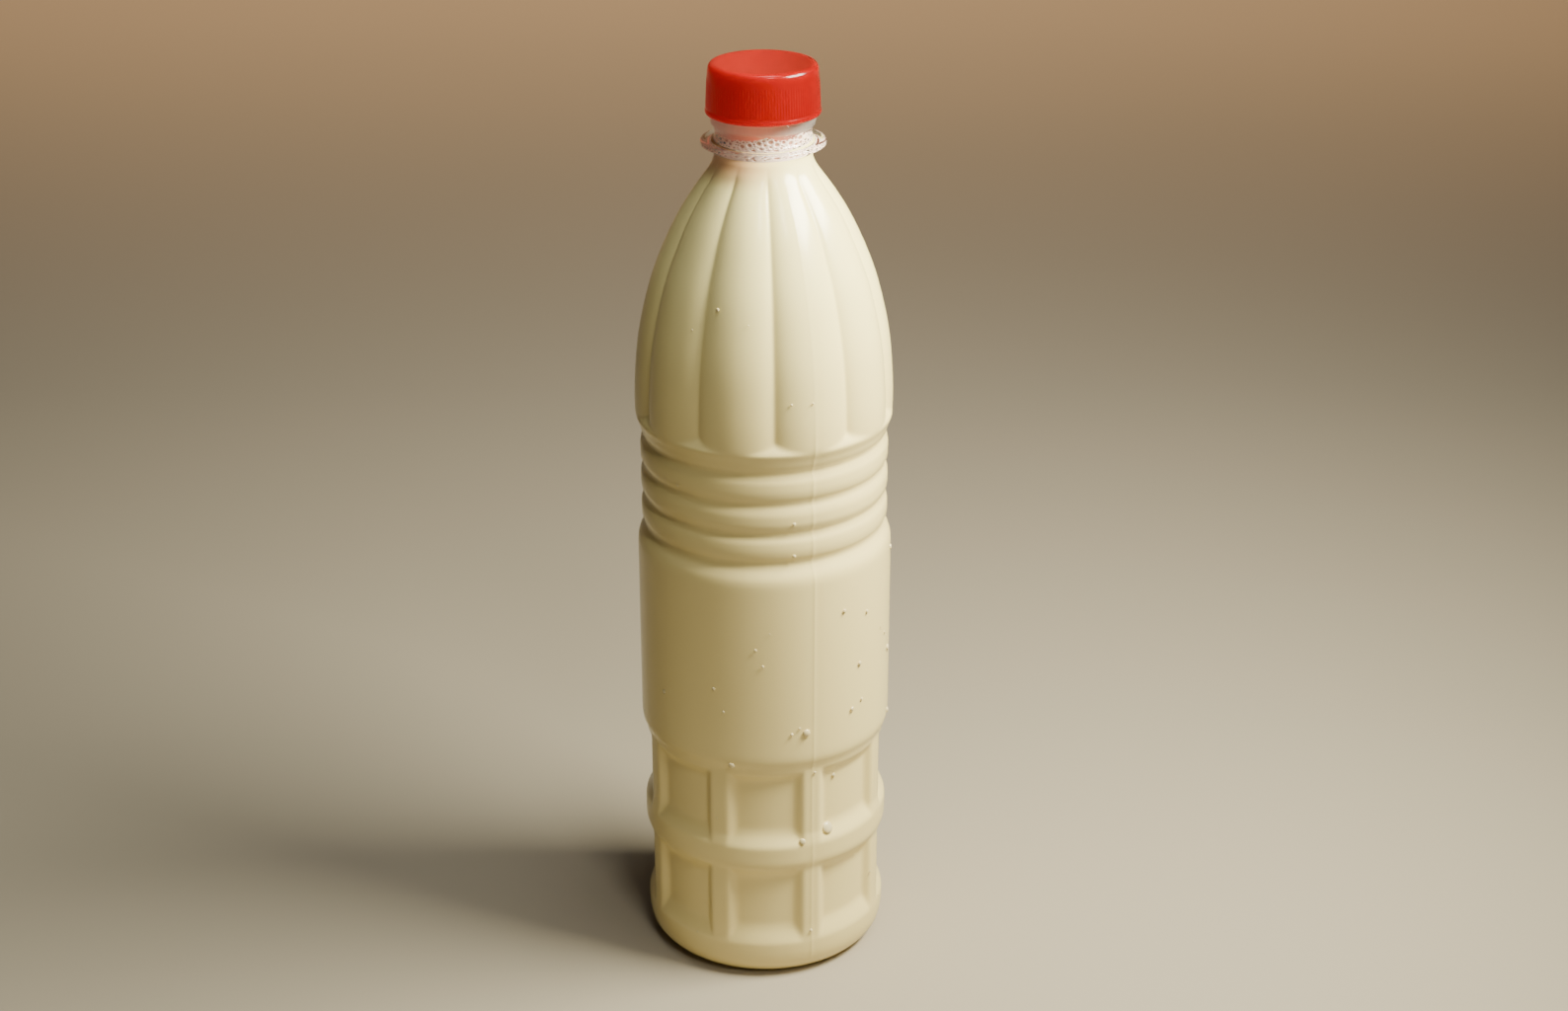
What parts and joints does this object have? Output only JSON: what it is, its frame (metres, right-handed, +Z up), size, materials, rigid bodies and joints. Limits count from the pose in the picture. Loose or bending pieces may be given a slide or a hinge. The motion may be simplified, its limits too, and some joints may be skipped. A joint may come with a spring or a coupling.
{
  "type": "milk bottle",
  "caption": "Clear plastic bottle of milk with a fluted shoulder, grip rings, a plain label panel, pressed windows and a red screw cap.",
  "frame": {"origin": "centre of the flat underside, on the surface the bottle stands on", "axes": "+Z up along the bottle's axis, -Y toward the side seen in the reference picture, +X to the right of it"},
  "size_m": [0.07, 0.0698, 0.2571],
  "materials": {
    "clear_plastic": "clear, smooth and slightly glossy",
    "milk": "opaque cream-coloured milk",
    "milk_froth": "pale froth of small round bubbles",
    "cap_red": "semi-gloss moulded red"
  },
  "bodies": {
    "root": {"bottle": "clear_plastic", "milk": "milk", "froth": "milk_froth", "cap": "cap_red"}
  },
  "joints": []
}
